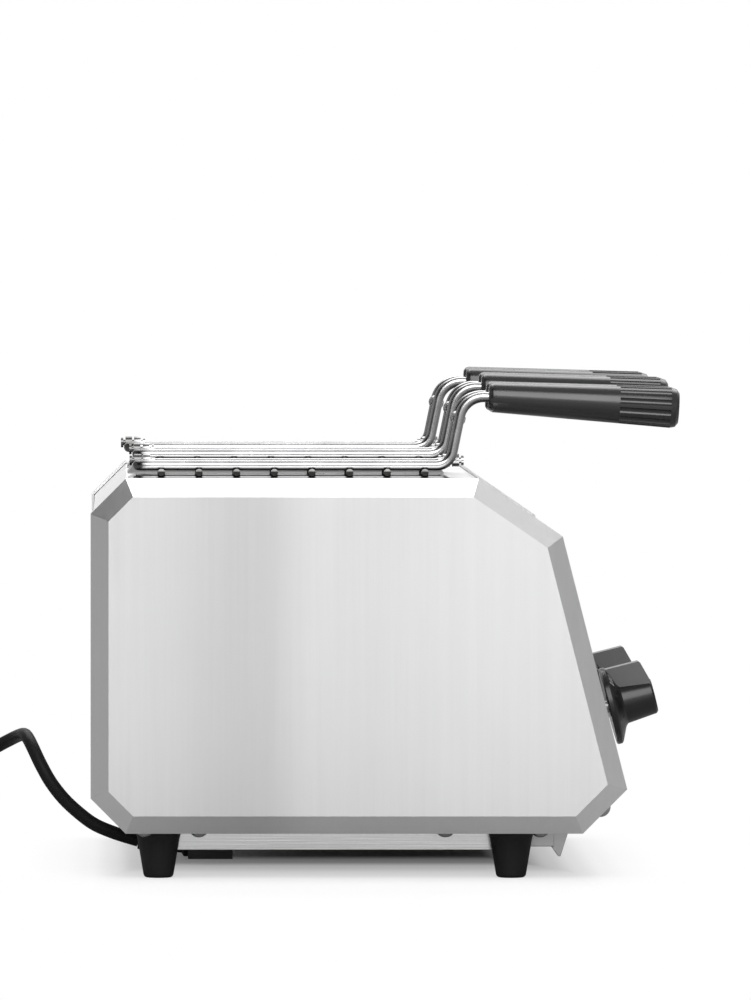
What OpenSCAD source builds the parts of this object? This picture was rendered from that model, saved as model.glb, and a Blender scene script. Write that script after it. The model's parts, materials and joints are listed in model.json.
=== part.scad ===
// Counter sandwich toaster with three slots and three lift-out wire tongs.
// X runs from the rear (cord) to the front (knobs and handles), Y from the
// left side to the right side, Z up. Millimetres. It stands on z = 0.

/* [Body] */
// Width over both side panels
body_w = 340; // [330:1:380]
// Depth from the rear face to the toe
body_d = 260; // [252:1:290]
// Height of the side panels
body_h = 172; // [166:1:190]
// Chamfer at the rear top edge
rear_top_chamfer = 17; // [8:0.5:17.5]
// Chamfer at the rear bottom edge
rear_bottom_chamfer = 17; // [8:0.5:17.5]
// Chamfer under the control panel
toe_chamfer = 21.5; // [12:0.5:26]
// Distance from the rear face to the front edge of the deck
deck_front = 188; // [186:1:200]
// Height of the brow, where the front slope meets the control panel
brow_h = 144; // [132:1:150]
// Lean of the control panel from upright, in degrees
panel_lean = 14.3; // [8:0.1:18]
// Thickness of the sheet steel
sheet_t = 1.2; // [0.8:0.1:1.5]

/* [Side panels] */
// Width of the bevelled border
bevel_w = 8.7; // [5:0.1:14]
// How far the flat face stands proud of the border's outer edge
face_proud = 5; // [2:0.5:8]
// Depth of the rim that wraps the casing
rim_depth = 10; // [8:0.5:12]
// How far the casing lies under the rim's outer surface
skin_drop = 1.5; // [1.4:0.1:3]

/* [Feet] */
// Height of the body above the table
foot_h = 22.5; // [20:0.5:30]
// Diameter of a foot at the top
foot_top_d = 21.5; // [18:0.5:22]
// Diameter of a foot on the table
foot_tip_d = 14.5; // [12:0.5:18]
// Rear feet, distance from the rear face
foot_rear_x = 33; // [30:1:40]
// Front feet, distance from the rear feet
foot_spacing = 171.5; // [160:1:178]
// Feet, distance in from the side faces
foot_inset = 26.5; // [26:0.5:28]

/* [Slots] */
// Distance from a side face to the middle of the outer heaters
heater_inset = 17; // [15.5:0.5:20]
// Clear width of a slot
slot_w = 38; // [34:0.5:40]
// Length of a slot's collar
slot_l = 152; // [148:1:156]
// Slot's rear end, distance from the rear face
slot_rear = 21; // [20.5:0.5:24]
// Wall of a collar
collar_t = 1.2; // [0.8:0.1:1.5]
// How far the collars reach below the deck
collar_depth = 4; // [2:0.5:5]
// How far the left slot's collar stands proud of the deck
left_proud = 1.5; // [0.5:0.1:8]
// How far the middle slot's collar stands proud of the deck
middle_proud = 4.2; // [0.5:0.1:8]
// How far the right slot's collar stands proud of the deck
right_proud = 5; // [0.5:0.1:8]
// How far further back the right pair of tongs sits
right_set_back = 4; // [0:0.5:5]

/* [Tongs] */
// Wire of the bars and risers
bar_d = 5; // [4:0.25:5.5]
// Wire of the cages
cage_wire_d = 3.5; // [2.5:0.25:4]
// Upright wires in a cage
cage_wires = 8; // [6:1:9]
// Distance between the upright wires
cage_pitch = 18.4; // [14:0.2:18.6]
// First upright wire, distance from the slot's rear end
cage_start = 13.5; // [12:0.5:16]
// Depth of a cage below its bar
cage_depth = 128; // [110:1:134]
// Length of the hooks that the bread stands on
hook_l = 12; // [8:0.5:12.5]
// Riser, distance from the rear face at bar height
riser_x = 175.5; // [174:0.5:180]
// Lean of the riser, in degrees
riser_lean = 11.6; // [0:0.1:15]
// Height of the handle's end above the bar
handle_rise = 34; // [30:0.5:44]
// Bend from the bar to the riser, at the middle of the wire
lower_bend = 8; // [6:0.5:9]
// Bend from the riser to the handle
upper_bend = 12; // [8:0.5:12]
// Hinge above the bars
hinge_rise = 2; // [1.5:0.5:3]
// Hinge pin
pin_d = 3; // [2.5:0.25:3.5]
// How much further forward the right jaw's eyes lie
jaw_stagger = 4.4; // [4.3:0.1:5]
// Height of the spring above the bar
spring_rise = 22; // [19:0.5:24]
// Outside diameter of the spring
spring_d = 7; // [6.5:0.25:8]
// Turns of the spring
spring_turns = 9; // [7:1:10]

/* [Handles] */
// Length of a handle
handle_l = 93; // [85:1:110]
// Diameter at the wire
handle_thin_d = 14.5; // [12:0.5:16]
// Diameter at the free end
handle_thick_d = 19.7; // [18:0.1:22]
// Fall of a handle towards its free end, in degrees
handle_tilt = 3.3; // [0:0.1:6]
// Wire end, distance from the riser's top corner
handle_start = 12; // [12:0.5:16]
// Length of the wire inside a handle
tang_l = 40; // [25:1:60]
// Flutes round the free end
flute_count = 12; // [8:1:14]
// Length of the flutes
flute_l = 25; // [10:1:30]

/* [Knobs] */
// Distance of a knob's middle from the machine's middle
knob_y = 80; // [60:1:100]
// Height of the knobs up the control panel, from the toe
knob_up = 35; // [30:1:45]
// Diameter of a knob's skirt
knob_d = 38.4; // [34:0.2:42]
// Thickness of the skirt's rim
skirt_t = 3.4; // [2:0.2:4]
// Diameter of the knob's round grip
grip_d = 20; // [17:0.5:22]
// Length of the grip in front of the skirt
grip_l = 20.2; // [18:0.2:24]
// Thickness of the pointer wing
wing_t = 12.5; // [6:0.5:14]
// Running gap between a knob and the control panel
knob_gap = 5.2; // [3.6:0.1:6]
// Diameter of the switch shafts
shaft_d = 6; // [5:0.25:8]
// Pilot lamp, height up the control panel from the toe
lamp_up = 78; // [70:1:95]
// Diameter of the pilot lamp's lens
lamp_d = 9; // [7:0.5:12]

/* [Heaters] */
// Diameter of a quartz tube
tube_d = 10; // [8:0.5:11]
// Height of the lower tubes above the underside of the body
low_tube = 45; // [38:1:60]
// Height of the upper tubes above the underside of the body
high_tube = 105; // [95:1:125]
// Diameter of the ceramic end caps
cap_d = 14; // [12.5:0.5:16]
// Guard grids, distance from the middle of the slot
guard_y = 33; // [32.5:0.1:34]
// Wire of the guard grids
guard_wire_d = 2.5; // [2:0.25:3]
// Uprights in a guard grid
guard_wires = 8; // [5:1:10]

/* [Crumb tray] */
// Distance from a side face to the tray
tray_inset = 42; // [41:0.5:55]
// Depth of the tray's walls
tray_depth = 9; // [6:0.5:10]
// Rear edge of the tray, distance from the rear face
tray_rear = 78; // [76:1:90]
// Front edge of the tray, distance from the rear face
tray_front = 226; // [222:1:230]
// Height of the pull lip's folded edge above the table
lip_clear = 9; // [5:0.5:10]

/* [Cord] */
// Diameter of the cord
cord_d = 6.5; // [6:0.1:7]
// Largest radius of the coil, at the middle of the cord
coil_r = 46; // [44:1:60]
// Turns in the coil
coil_turns = 5.5; // [5.5:1:5.5]

/* [Hidden] */

// Fits
seat = 0.1;        // seats that touch in use
play = 0.3;        // parts that slide or slip past each other
running = 0.05;    // radial running clearance of shafts and pins
seam = 0.15;       // half the joint between two sheets
weld = 0.6;        // how far welded wires sink into each other
bend_lap = 0.2;    // how far a wire's straights run into its bends
bend_swell = 0.03; // how much thicker a bend is than its straights
eps = 0.01;

// Round things
fine = 64;
round_fn = 24;
bend_fn = 32;

// Steel and plastic as they look
steel = [0.82, 0.82, 0.83];
wire_steel = [0.72, 0.72, 0.74];
black = [0.05, 0.05, 0.055];
ceramic = [0.9, 0.88, 0.84];

// Directions and points in the side view, where x is depth and y is height
function unit(v) = v / norm(v);
function inward(a, b) = unit([b.y - a.y, a.x - b.x]);
function meet(a, u, b, v) = a + u * ((b.x - a.x) * v.y - (b.y - a.y) * v.x) / (u.x * v.y - u.y * v.x);
function inset(p, d) = [
    for (i = [0:len(p) - 1])
        let (
            before = p[(i + len(p) - 1) % len(p)],
            here = p[i],
            after = p[(i + 1) % len(p)]
        )
        meet(
            here + d * inward(before, here), unit(here - before),
            here + d * inward(here, after), unit(after - here)
        )
];
function turned(p) = [for (i = [len(p) - 1:-1:0]) p[i]];
function rect(x0, y0, x1, y1) = [[x0, y0], [x1, y0], [x1, y1], [x0, y1]];

// The body's side outline, from the rear bottom corner, clockwise
brow_x = body_d - (brow_h - toe_chamfer) * tan(panel_lean);
outline = [
    [0, rear_bottom_chamfer], [0, body_h - rear_top_chamfer],
    [rear_top_chamfer, body_h], [deck_front, body_h],
    [brow_x, brow_h], [body_d, toe_chamfer],
    [body_d - toe_chamfer, 0], [rear_bottom_chamfer, 0]
];
skin_outside = inset(outline, skin_drop);
skin_inside = inset(outline, skin_drop + sheet_t);

// Heights above the table
base_under = foot_h + skin_drop;
base_top = base_under + sheet_t;
deck_top = foot_h + body_h - skin_drop;
deck_under = deck_top - sheet_t;

// Depths and widths inside the casing
rim_y = body_w / 2 - face_proud;
skin_y = rim_y - play;
bulkhead_rear = max(rear_top_chamfer, rear_bottom_chamfer) + 1.3;
bulkhead_front = deck_front - 6;
chamber_l = bulkhead_front - bulkhead_rear - 2 * sheet_t;
tray_w = body_w - 2 * tray_inset;
shield_y = body_w / 2 - heater_inset + cap_d / 2 + 1;
bulkhead_y = shield_y + sheet_t + 0.5;

// Where the three slots lie, how proud their collars are and how far back their tongs sit
slot_pitch = (body_w - 2 * heater_inset) / 3;
slot_y = [-slot_pitch, 0, slot_pitch];
proud = [left_proud, middle_proud, right_proud];
set_back = [0, 0, right_set_back];
bank_y = [-1.5 * slot_pitch, -0.5 * slot_pitch, 0.5 * slot_pitch, 1.5 * slot_pitch];

// Tong: everything is measured from its bar, and y from the slot's middle
bar_r = bar_d / 2;
cage_r = cage_wire_d / 2;
bar_y = slot_w / 2 - 0.4;
cage_y = bar_y - bar_r - cage_r + weld;
cage_out = bar_y + bar_r + 1.2;
cage_drop = bar_r + cage_r - 1.5 * weld;
rail_in_y = cage_y + 1.2;
bar_rear = slot_rear + 2;
riser_run = handle_rise * tan(riser_lean);
hinge_x = riser_x - 1;
spring_x = riser_x + spring_rise * tan(riser_lean);
eye_l = jaw_stagger - 1;
eye_r = pin_d / 2 + 1.6;
eye_end = pin_d / 2 + 0.4;
link_r = 2;
link_bend = 3.6;
open_angle = 5;
function bar_z(i) = deck_top + proud[i] + seat + cage_r + cage_drop;

// Handle, along its own axis
end_round = 2.4;
handle_reach = riser_x + riser_run + (handle_start + handle_l) * cos(handle_tilt)
    + (handle_thick_d / 2 - end_round) * sin(handle_tilt);
flute_r = 1.9;

// The whole machine is centred between its rear face and its handles' ends
centre_x = handle_reach / 2;

// Control panel: its outer face, from the toe upwards
panel_toe = skin_outside[5] + [0, foot_h];
knob_bore = 12;
panel_hole_r = 5.5;
bushing_r = 5;

// Cord route, chosen by hand: from the strain relief's end to the start of the coil
gland_y = -slot_pitch / 2;
cord_z = 12;
cord_route = [
    [22, -51, 12.4], [12, -51, 15.5], [2, -51, 19.7], [-6, -51, 25.5], [-13.5, -51, 32.5],
    [-20, -50.5, 40.8], [-25, -47.5, 49.5], [-28.5, -42, 56.5], [-31, -34.5, 61],
    [-32.8, -26, 62.9], [-34.8, -17, 62.5], [-38, -8.5, 60.8], [-43, -1.5, 57.9],
    [-49.5, 3.5, 54.2], [-57.5, 6.2, 50], [-66.5, 7, 45.4], [-77, 6.8, 39.6],
    [-90, 6.2, 32], [-103, 5.6, 24.2], [-115, 5.2, 17.5], [-126, 5, 12.7], [-137, 5, 10.4]
];
// Coil: it lies in two layers beside the machine, outside of it
coil_centre = [-148, 5 - coil_r];
coil_gap = 0.5;
coil_pitch = cord_d + coil_gap;
coil_rings = 24;
coil_sides = 6;
// From the coil's outer end to the plug
tail_rise = [[8, 3.6], [15, 4.5], [22, 6], [30, 8.3]];

module in_frame() {
    translate([-centre_x, 0, 0])
        children();
}

// A side-view outline made as wide as y0 to y1
module across(y0, y1) {
    rotate([90, 0, 0])
        translate([0, 0, -y1])
            linear_extrude(y1 - y0)
                children();
}

// A solid through outlines at rising heights, each with the same corners, anticlockwise
module stack(outlines, heights) {
    n = len(outlines[0]);
    top = len(outlines) - 1;
    polyhedron(
        points = [for (j = [0:top], p = outlines[j]) [p.x, p.y, heights[j]]],
        faces = concat(
            [[for (i = [0:n - 1]) i]],
            [[for (i = [n - 1:-1:0]) top * n + i]],
            [
                for (j = [0:top - 1], i = [0:n - 1])
                    [j * n + i, (j + 1) * n + i, (j + 1) * n + (i + 1) % n, j * n + (i + 1) % n]
            ]
        )
    );
}

// A straight rod between two points
module rod(a, b, r) {
    d = b - a;
    translate(a)
        rotate([0, acos(d.z / norm(d)), atan2(d.y, d.x)])
            cylinder(h = norm(d), r = r, $fn = round_fn);
}

// A round wire through corner points, with one bend radius for each inner corner.
// A bend is a hair thicker than the straights, whose ends lie inside it
module wire(p, bends, r) {
    n = len(p);
    u = [for (i = [0:n - 2]) unit(p[i + 1] - p[i])];
    turn = [for (i = [1:n - 2]) acos(u[i - 1] * u[i])];
    t = concat([0], [for (i = [0:n - 3]) bends[i] * tan(turn[i] / 2)], [0]);
    for (i = [0:n - 2])
        rod(p[i] + u[i] * max(0, t[i] - bend_lap), p[i + 1] - u[i] * max(0, t[i + 1] - bend_lap), r);
    for (i = [1:n - 2]) {
        side = unit(u[i] - (u[i] * u[i - 1]) * u[i - 1]);
        c = p[i] - u[i - 1] * t[i] + side * bends[i - 1];
        w = cross(u[i - 1], side);
        multmatrix([
            [-side.x, u[i - 1].x, w.x, c.x],
            [-side.y, u[i - 1].y, w.y, c.y],
            [-side.z, u[i - 1].z, w.z, c.z],
            [0, 0, 0, 1]
        ])
            rotate_extrude(angle = turn[i - 1], $fn = bend_fn)
                translate([bends[i - 1], 0])
                    circle(r = r + bend_swell, $fn = round_fn);
    }
}

// A tube swept along points, one ring at each point
function sum(v, i = 0) = i < len(v) ? v[i] + sum(v, i + 1) : 0;
function tangent(p, i) = unit(p[min(i + 1, len(p) - 1)] - p[max(i - 1, 0)]);
function ring(c, along, r, sides) =
    let (
        flat = unit(cross(along, [0, 0, 1])),
        up = cross(flat, along)
    )
    [for (k = [0:sides - 1]) c + r * (cos(360 * k / sides) * flat + sin(360 * k / sides) * up)];
module tube(p, r, sides) {
    n = len(p);
    points = [for (i = [0:n - 1]) each ring(p[i], tangent(p, i), r, sides)];
    walls = [
        for (i = [0:n - 2], k = [0:sides - 1])
            let (
                a = i * sides + k,
                b = i * sides + (k + 1) % sides
            )
            each [[a, a + sides, b], [b, a + sides, b + sides]]
    ];
    start = [for (k = [0:sides - 1]) k];
    end = [for (k = [sides - 1:-1:0]) (n - 1) * sides + k];
    polyhedron(points = points, faces = concat([start], walls, [end]));
}

// Casing

// One side panel, for the right side: a folded dish with a bevelled border
module dish(rim, border, face, deep) {
    rotate([90, 0, 0])
        stack(
            [for (d = [rim + border, rim, rim]) turned(inset(outline, d))],
            [-face, -rim_y, -deep]
        );
}
module side_panel_form() {
    translate([0, 0, foot_h])
        difference() {
            dish(0, bevel_w, body_w / 2, rim_y - rim_depth);
            dish(sheet_t, bevel_w, body_w / 2 - sheet_t, rim_y - rim_depth - 1);
            screw_places()
                cylinder(h = 8, r = case_screw_r + play, center = true, $fn = round_fn);
        }
}

// Dome screws through the rim: z points out of the panel's underside
case_screw_r = 1.5;
case_screw_x = [26.5, 52.5, 172, 218];
case_screw_in = 5;
module screw_places() {
    for (x = case_screw_x)
        translate([x, rim_y - case_screw_in, 0])
            rotate([180, 0, 0])
                children();
    toe = (outline[5] + outline[6]) / 2;
    translate([toe.x, rim_y - case_screw_in, toe.y])
        rotate([0, 135, 0])
            children();
}

module both_sides() {
    children();
    mirror([0, 1, 0])
        children();
}

module left_side_panel() {
    color(steel)
        mirror([0, 1, 0])
            side_panel_form();
}

module right_side_panel() {
    color(steel)
        side_panel_form();
}

// The casing's sheet from corner first to corner last of the outline
module skin(first, last) {
    out = [for (i = [first:last]) skin_outside[i % 8]];
    ins = [for (i = [first:last]) skin_inside[i % 8]];
    n = len(out);
    head = unit(out[1] - out[0]) * seam;
    foot = unit(out[n - 2] - out[n - 1]) * seam;
    outer = [for (i = [0:n - 1]) out[i] + (i == 0 ? head : i == n - 1 ? foot : [0, 0])];
    inner = [for (i = [0:n - 1]) ins[i] + (i == 0 ? head : i == n - 1 ? foot : [0, 0])];
    translate([0, 0, foot_h])
        across(-skin_y, skin_y)
            polygon(concat(outer, [for (i = [n - 1:-1:0]) inner[i]]));
}

module at_slots() {
    for (i = [0:2])
        translate([0, slot_y[i], 0])
            children();
}

collar_out = collar_t + play;
module top_deck() {
    color(steel)
        difference() {
            skin(1, 4);
            at_slots()
                translate([slot_rear - play, -slot_w / 2 - collar_out, deck_under - 1])
                    cube([slot_l + 2 * play, slot_w + 2 * collar_out, sheet_t + 2]);
        }
}

// Folded collars that stiffen the slots and carry the tongs' bars
collar_flare = 3;
module slot_collars() {
    x0 = slot_rear;
    x1 = slot_rear + slot_l;
    y1 = slot_w / 2 + collar_t;
    color(steel)
        for (i = [0:2])
            translate([0, slot_y[i], deck_top])
                difference() {
                    union() {
                        stack(
                            [
                                rect(x0 - collar_flare, -y1 - collar_flare, x1 + collar_flare, y1 + collar_flare),
                                rect(x0, -y1, x1, y1)
                            ],
                            [seat, proud[i]]
                        );
                        translate([x0, -y1, -sheet_t - collar_depth])
                            cube([slot_l, 2 * y1, sheet_t + collar_depth + proud[i] / 2]);
                    }
                    translate([x0 + collar_t, -slot_w / 2, -sheet_t - collar_depth - 1])
                        cube([slot_l - 2 * collar_t, slot_w, sheet_t + collar_depth + proud[i] + 2]);
                }
}

// Rear wall with its folded foot and two fields of louvres
louvre_l = 40;
louvre_h = 3;
louvre_pitch = 9;
louvre_rows = 6;
module back_panel() {
    color(steel)
        difference() {
            skin(7, 9);
            for (side = [-1, 1], k = [0:louvre_rows - 1])
                translate([-1, side * body_w / 4 - louvre_l / 2, foot_h + body_h / 2 - 28 + k * louvre_pitch])
                    cube([skin_drop + sheet_t + 2, louvre_l, louvre_h]);
        }
}

// Places children on the control panel, z out of it and x down it
module on_panel(y, up) {
    translate([panel_toe.x - up * sin(panel_lean), y, panel_toe.y + up * cos(panel_lean)])
        rotate([0, 90 - panel_lean, 0])
            children();
}

module control_panel() {
    color(steel)
        difference() {
            skin(4, 6);
            for (y = [-knob_y, knob_y])
                on_panel(y, knob_up)
                    cylinder(h = 4 * sheet_t, r = panel_hole_r, center = true, $fn = fine);
            on_panel(0, lamp_up)
                cylinder(h = 4 * sheet_t, r = lamp_d / 2 + play, center = true, $fn = fine);
            translate([0, 0, foot_h])
                both_sides()
                    screw_places()
                        cylinder(h = 12, r = case_screw_r + play, center = true, $fn = round_fn);
        }
}

// Floor of the casing, open below each slot so that crumbs fall into the tray
window_rear = tray_rear + 6;
window_front = bulkhead_front - 8;
window_w = slot_pitch - 26;
duct_hole_x = 62;
module base_plate() {
    color(steel)
        difference() {
            skin(6, 7);
            at_slots()
                translate([window_rear, -min(window_w, 2 * (tray_w / 2 - slot_pitch) - 4) / 2, base_under - 1])
                    cube([window_front - window_rear, min(window_w, 2 * (tray_w / 2 - slot_pitch) - 4), sheet_t + 2]);
            translate([duct_hole_x, gland_y, base_under - 1])
                cylinder(h = sheet_t + 2, r = 6, $fn = fine);
            foot_places()
                cylinder(h = base_top + 1, r = foot_screw_r + play, $fn = round_fn);
            translate([0, 0, foot_h])
                both_sides()
                    screw_places()
                        cylinder(h = 12, r = case_screw_r + play, center = true, $fn = round_fn);
        }
}

module case_screws() {
    color(wire_steel)
        translate([0, 0, foot_h])
            both_sides()
                screw_places() {
                    translate([0, 0, seat])
                        intersection() {
                            translate([0, 0, -3])
                                sphere(r = 5, $fn = fine);
                            cylinder(h = 3, r = 4, $fn = fine);
                        }
                    translate([0, 0, -6])
                        cylinder(h = 6 + seat, r = case_screw_r, $fn = round_fn);
                }
}

// Inner walls that carry the heaters
module bulkhead(x) {
    difference() {
        translate([x, -bulkhead_y, base_top + seat])
            cube([sheet_t, 2 * bulkhead_y, deck_under - base_top - 2 * seat]);
        tube_places()
            cylinder(h = 2 * body_d, r = cap_d / 2 + seat, center = true, $fn = fine);
    }
}

// The axis of each quartz tube, z towards the front
module tube_places() {
    for (y = bank_y, z = [low_tube, high_tube])
        translate([0, y, foot_h + z])
            rotate([0, 90, 0])
                children();
}

module front_bulkhead() {
    color(steel)
        difference() {
            bulkhead(bulkhead_front - sheet_t);
            translate([bulkhead_front - sheet_t - 1, gland_y - duct_w / 2 - play, base_top])
                cube([sheet_t + 2, duct_w + 2 * play, duct_h + play]);
        }
}

module rear_bulkhead() {
    color(steel)
        bulkhead(bulkhead_rear);
}

// Bright sheets between the outer heaters and the side panels, clear of the case's screws
shield_gap = 6;
module heat_shields() {
    color(steel)
        both_sides()
            translate([bulkhead_rear + sheet_t + seat, shield_y, base_top + shield_gap])
                cube([chamber_l - 2 * seat, sheet_t, deck_under - base_top - 2 * shield_gap]);
}

// Wire grids that keep the tongs off the quartz tubes
module guard_grids() {
    x0 = bulkhead_rear + sheet_t + seat;
    x1 = bulkhead_front - sheet_t - seat;
    low = base_top + 12;
    high = deck_under - collar_depth - 6;
    step = (x1 - x0 - 20) / (guard_wires - 1);
    color(wire_steel)
        for (i = [0:2], side = [-1, 1])
            translate([0, slot_y[i] + side * guard_y, 0]) {
                for (z = [low, high])
                    rod([x0, 0, z], [x1, 0, z], guard_wire_d / 2 + 0.25);
                for (k = [0:guard_wires - 1])
                    rod([x0 + 10 + k * step, 0, low], [x0 + 10 + k * step, 0, high], guard_wire_d / 2);
            }
}

tube_wall = 1;
cap_l = 9;
module quartz_tubes() {
    color(ceramic, 0.5)
        tube_places()
            translate([0, 0, bulkhead_rear])
                difference() {
                    cylinder(h = bulkhead_front - bulkhead_rear, r = tube_d / 2, $fn = fine);
                    translate([0, 0, -1])
                        cylinder(h = bulkhead_front - bulkhead_rear + 2, r = tube_d / 2 - tube_wall, $fn = fine);
                }
}

// The wound element inside each tube, as its envelope
module heating_coils() {
    color("darkgoldenrod")
        tube_places()
            translate([0, 0, bulkhead_rear - 1.5])
                cylinder(h = bulkhead_front - bulkhead_rear + 3, r = tube_d / 2 - tube_wall - seat, $fn = fine);
}

module ceramic_caps() {
    color(ceramic)
        tube_places()
            for (end = [0, 1])
                translate([0, 0, end == 0 ? bulkhead_rear + sheet_t / 2 : bulkhead_front - sheet_t / 2])
                    mirror([0, 0, end == 0 ? 0 : 1])
                        difference() {
                            translate([0, 0, -cap_l / 2])
                                cylinder(h = cap_l, r = cap_d / 2, $fn = fine);
                            translate([0, 0, -sheet_t / 2 - seat])
                                cylinder(h = cap_l, r = tube_d / 2 + seat, $fn = fine);
                            translate([0, 0, -sheet_t / 2 - 2])
                                cylinder(h = cap_l, r = tube_d / 2 - tube_wall, $fn = fine);
                        }
}

// Wiring

duct_w = 18;
duct_h = 12;
duct_t = 1;
duct_rear = duct_hole_x - 9;
module wire_duct() {
    color(steel)
        translate([duct_rear, gland_y - duct_w / 2, base_top + seat])
            difference() {
                cube([bulkhead_front + 4 - duct_rear, duct_w, duct_h - seat]);
                translate([duct_t, duct_t, -1])
                    cube([bulkhead_front + 4 - duct_rear, duct_w - 2 * duct_t, duct_h - seat - duct_t + 1]);
            }
}

core_r = 1.1;
core_gap = 3.2;
core_z = base_top + duct_h / 2;
block_x = bulkhead_front + 16;
module core_wires() {
    box_front = duct_hole_x + 2;
    for (k = [-1, 0, 1])
        color(["sienna", "royalblue", "olivedrab"][k + 1])
            wire(
                [
                    [duct_rear + 1.5, gland_y + k * core_gap, cord_z],
                    [box_front, gland_y + k * core_gap, cord_z],
                    [box_front, gland_y + k * core_gap, core_z],
                    [block_x - seat, gland_y + k * core_gap, core_z]
                ],
                [4, 4], core_r
            );
}

module terminal_block() {
    color(ceramic)
        difference() {
            translate([block_x, gland_y - 13, base_top + seat])
                cube([16, 26, 14]);
            for (k = [-1, 0, 1])
                translate([block_x + 8, gland_y + k * 8, base_top + 8])
                    cylinder(h = 10, r = 2, $fn = round_fn);
        }
}

// Feet

foot_screw_r = 2;
module foot_places() {
    for (x = [foot_rear_x, foot_rear_x + foot_spacing], side = [-1, 1])
        translate([x, side * (body_w / 2 - foot_inset), 0])
            children();
}

recess_r = 4.2;
recess_h = 10;
module foot(x, side) {
    color(black)
        translate([x, side * (body_w / 2 - foot_inset), 0])
            difference() {
                rotate_extrude($fn = fine)
                    polygon([
                        [0, 0], [foot_tip_d / 2 - 1, 0], [foot_tip_d / 2, 1],
                        [foot_top_d / 2 - 0.4, foot_h - 3], [foot_top_d / 2, foot_h - 2.4],
                        [foot_top_d / 2, base_under - seat], [0, base_under - seat]
                    ]);
                translate([0, 0, -1])
                    cylinder(h = recess_h + 1, r = recess_r, $fn = fine);
                cylinder(h = base_under, r = foot_screw_r + play, $fn = round_fn);
            }
}
module foot_rear_left() { foot(foot_rear_x, -1); }
module foot_rear_right() { foot(foot_rear_x, 1); }
module foot_front_left() { foot(foot_rear_x + foot_spacing, -1); }
module foot_front_right() { foot(foot_rear_x + foot_spacing, 1); }

module foot_screws() {
    color(wire_steel)
        foot_places() {
            translate([0, 0, recess_h - 3.2])
                cylinder(h = 3, r = recess_r - play, $fn = round_fn);
            translate([0, 0, recess_h - 1])
                cylinder(h = base_top + 4 - recess_h, r = foot_screw_r, $fn = round_fn);
            translate([0, 0, base_top + seat])
                cylinder(h = 3, r = 4, $fn = 6);
        }
}

// Crumb tray and its rails

rail_rear = 30;
rail_front = 200;
rail_y = tray_w / 2 + 2.2;
rail_lip = 5;
rail_low = base_under - tray_depth - 2.6;
flange_w = 4;
module tray_rails() {
    color(steel)
        both_sides()
            across_x(rail_rear, rail_front)
                polygon([
                    [rail_y + sheet_t, base_under - seat], [rail_y, base_under - seat],
                    [rail_y, rail_low + sheet_t], [rail_y - rail_lip, rail_low + sheet_t],
                    [rail_y - rail_lip, rail_low], [rail_y + sheet_t, rail_low]
                ]);
}

// A front-view outline, x across and y up, made as long as x0 to x1
module across_x(x0, x1) {
    translate([x0, 0, 0])
        rotate([90, 0, 90])
            linear_extrude(x1 - x0)
                children();
}

tray_floor = rail_low + sheet_t + play;
tray_top = base_under - 2 * play;
module crumb_tray() {
    color(steel) {
        difference() {
            translate([tray_rear, -tray_w / 2, tray_floor])
                cube([tray_front - tray_rear, tray_w, tray_top - tray_floor]);
            translate([tray_rear + sheet_t, sheet_t - tray_w / 2, tray_floor + sheet_t])
                cube([tray_front - tray_rear - 2 * sheet_t, tray_w - 2 * sheet_t, tray_depth + 10]);
        }
        difference() {
            across(2 - tray_w / 2, tray_w / 2 - 2)
                polygon([
                    [tray_front - sheet_t / 2, tray_top], [tray_front + 7.4, tray_top - 2],
                    [tray_front + 3.4, lip_clear], [tray_front + 2.2, lip_clear],
                    [tray_front - 1.5, tray_floor + 0.4], [tray_front - sheet_t / 2, tray_floor + 0.4]
                ]);
            across(2 + sheet_t - tray_w / 2, tray_w / 2 - 2 - sheet_t)
                polygon([
                    [tray_front + eps, tray_top - sheet_t], [tray_front + 5.8, tray_top - sheet_t - 1.8],
                    [tray_front + 2.8, lip_clear + 3], [tray_front + eps, tray_floor + 2]
                ]);
        }
    }
}

// Switches and knobs

module switch_body(size, depth) {
    color("dimgray")
        difference() {
            union() {
                translate([-size / 2, -size / 2, -sheet_t - seat - depth])
                    cube([size, size, depth]);
                translate([0, 0, -sheet_t - 1])
                    cylinder(h = sheet_t + 1 + knob_gap - 1, r = bushing_r, $fn = fine);
                translate([0, 0, seat])
                    cylinder(h = 2.4, r = 8.5, $fn = 6);
            }
            translate([0, 0, -sheet_t - depth / 2])
                cylinder(h = depth + 10, r = shaft_d / 2 + running, $fn = fine);
        }
}

module knob_shaft(depth) {
    color(wire_steel)
        translate([0, 0, -sheet_t - depth / 2 + seat])
            cylinder(h = knob_gap + knob_bore + sheet_t + depth / 2 - 2 * seat, r = shaft_d / 2, $fn = fine);
}

// A skirted pointer knob; its wing points up the panel
module knob() {
    skirt_r = knob_d / 2;
    grip_r = grip_d / 2;
    wing_top = grip_l * 0.85;
    color(black)
        translate([0, 0, knob_gap])
            difference() {
                union() {
                    rotate_extrude($fn = fine)
                        polygon([
                            [0, 0], [skirt_r - 0.6, 0], [skirt_r, 0.6], [skirt_r, skirt_t - 0.8],
                            [skirt_r - 0.8, skirt_t], [grip_r + 1.6, skirt_t + 3.2],
                            [grip_r + 0.4, skirt_t + 4.4], [grip_r * 0.9, skirt_t + grip_l - 1],
                            [grip_r * 0.9 - 1, skirt_t + grip_l], [0, skirt_t + grip_l]
                        ]);
                    rotate([90, 0, 0])
                        translate([0, 0, -wing_t / 2])
                            linear_extrude(wing_t)
                                polygon([
                                    [0, skirt_t / 2], [0.9 - skirt_r, skirt_t / 2],
                                    [0.9 - skirt_r, skirt_t + wing_top - 0.8],
                                    [1.7 - skirt_r, skirt_t + wing_top],
                                    [-grip_r * 0.88, skirt_t + grip_l - 0.6],
                                    [0, skirt_t + grip_l - 0.6]
                                ]);
                }
                translate([0, 0, -1])
                    cylinder(h = knob_bore + 1, r = shaft_d / 2 + running / 2, $fn = fine);
            }
}

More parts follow.
